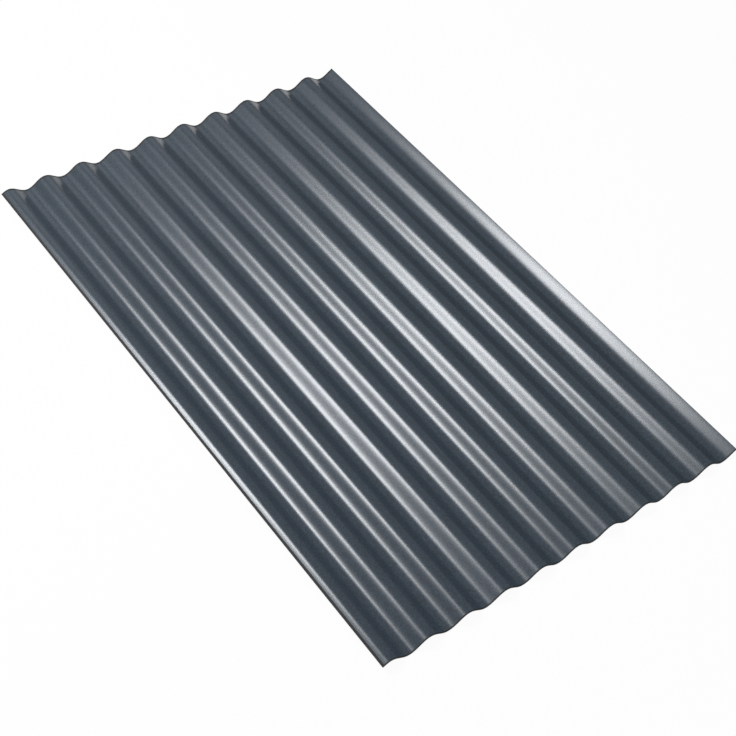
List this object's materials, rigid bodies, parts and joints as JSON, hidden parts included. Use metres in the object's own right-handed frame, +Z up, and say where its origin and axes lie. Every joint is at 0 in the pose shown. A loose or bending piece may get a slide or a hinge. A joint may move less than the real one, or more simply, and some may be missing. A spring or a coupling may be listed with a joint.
{
  "type": "corrugated metal sheet",
  "caption": "Colour-coated corrugated steel sheet with sine waves along its length, one edge turned down and one turned up for side laps; it lies flat on its valleys.",
  "frame": {"origin": "On the floor under the middle of the sheet.", "axes": "+X across the waves, towards the edge that is turned up; +Y along the waves; +Z up, from the valleys to the crests."},
  "size_m": [0.7668, 1.2, 0.018],
  "materials": {
    "sheet_coating": "satin anthracite coil coating on galvanised steel"
  },
  "bodies": {
    "root": {"corrugated_sheet": "sheet_coating"}
  },
  "joints": []
}
